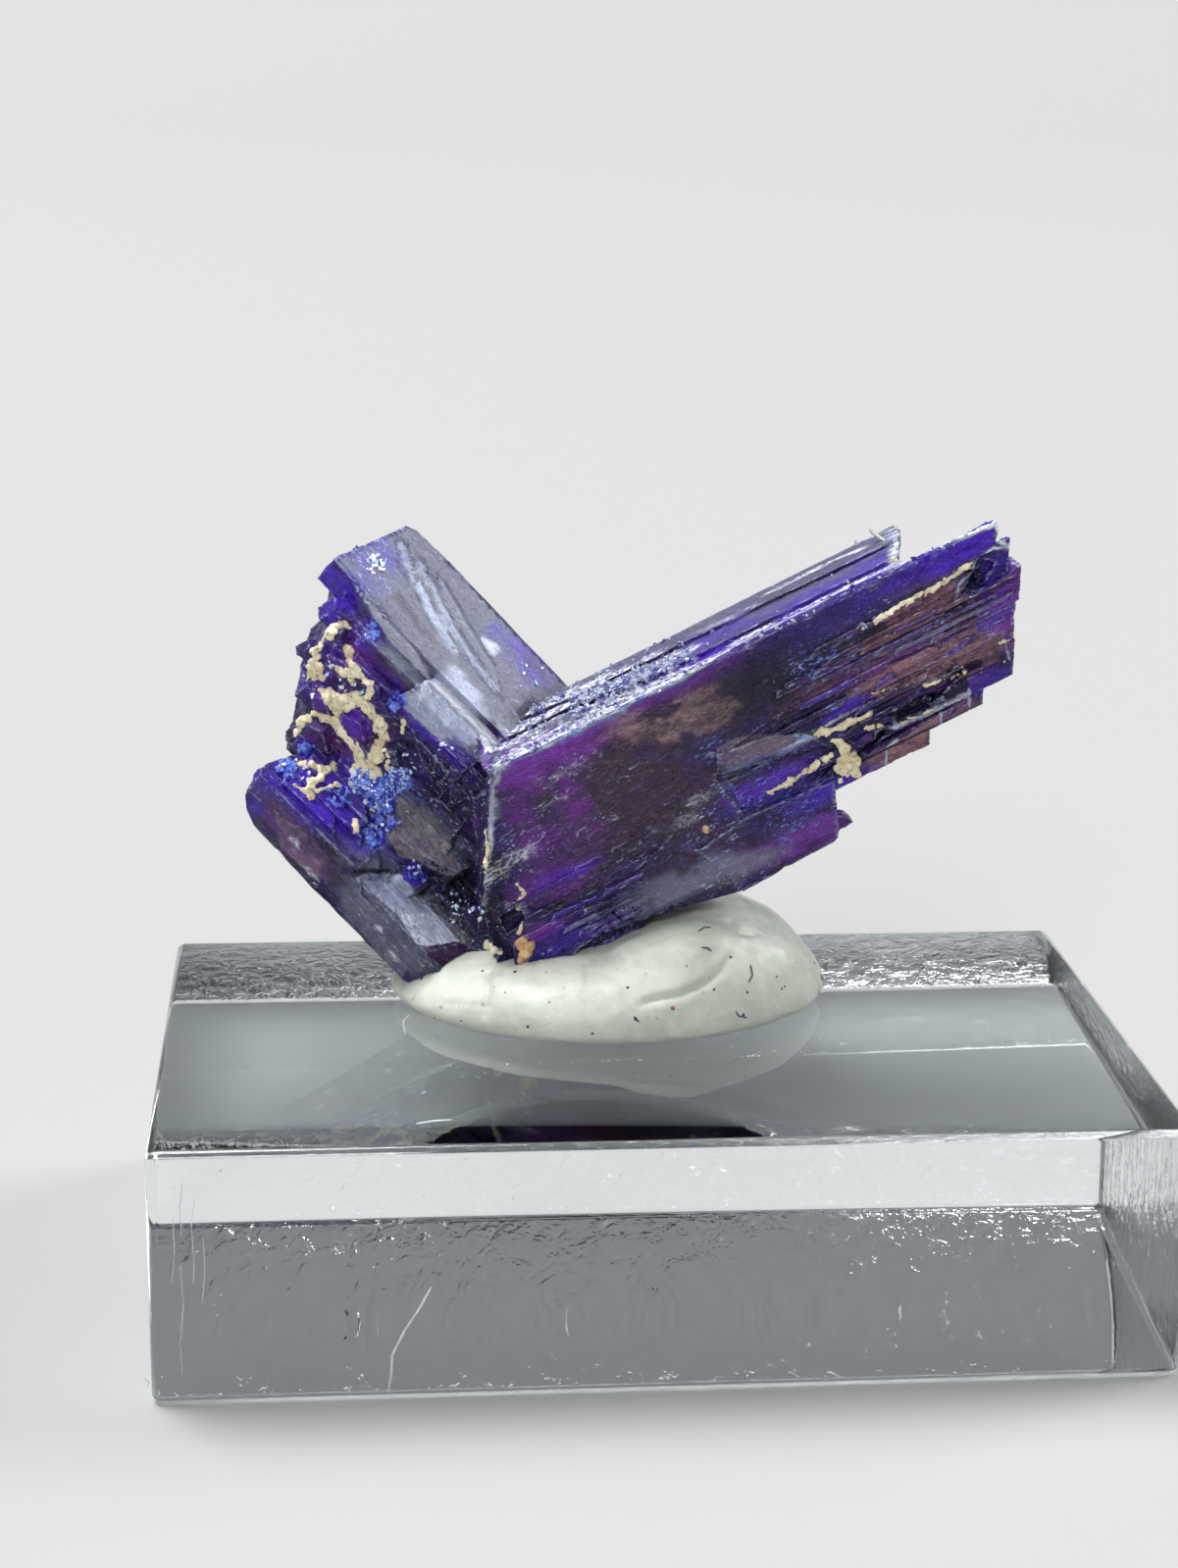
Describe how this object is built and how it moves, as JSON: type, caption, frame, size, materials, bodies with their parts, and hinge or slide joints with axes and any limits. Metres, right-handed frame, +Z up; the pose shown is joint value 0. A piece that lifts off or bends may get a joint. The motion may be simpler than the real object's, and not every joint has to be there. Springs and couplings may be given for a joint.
{
  "type": "mineral specimen on display base",
  "caption": "Blue azurite crystal group in a V of two wings, held by a roll of grey tack on a clear rectangular display block.",
  "frame": {"origin": "centre of the clear block's underside, on the surface that it stands on", "axes": "+X along the block to the right as seen from its front, +Y away from the viewer, +Z up"},
  "size_m": [0.0318, 0.019, 0.0251],
  "materials": {
    "clear_acrylic": "polished",
    "grey_tack": "matte",
    "azurite": "gloss"
  },
  "bodies": {
    "root": {"acrylic_base": "clear_acrylic", "mineral_tack": "grey_tack", "azurite_crystals": "azurite"}
  },
  "joints": []
}
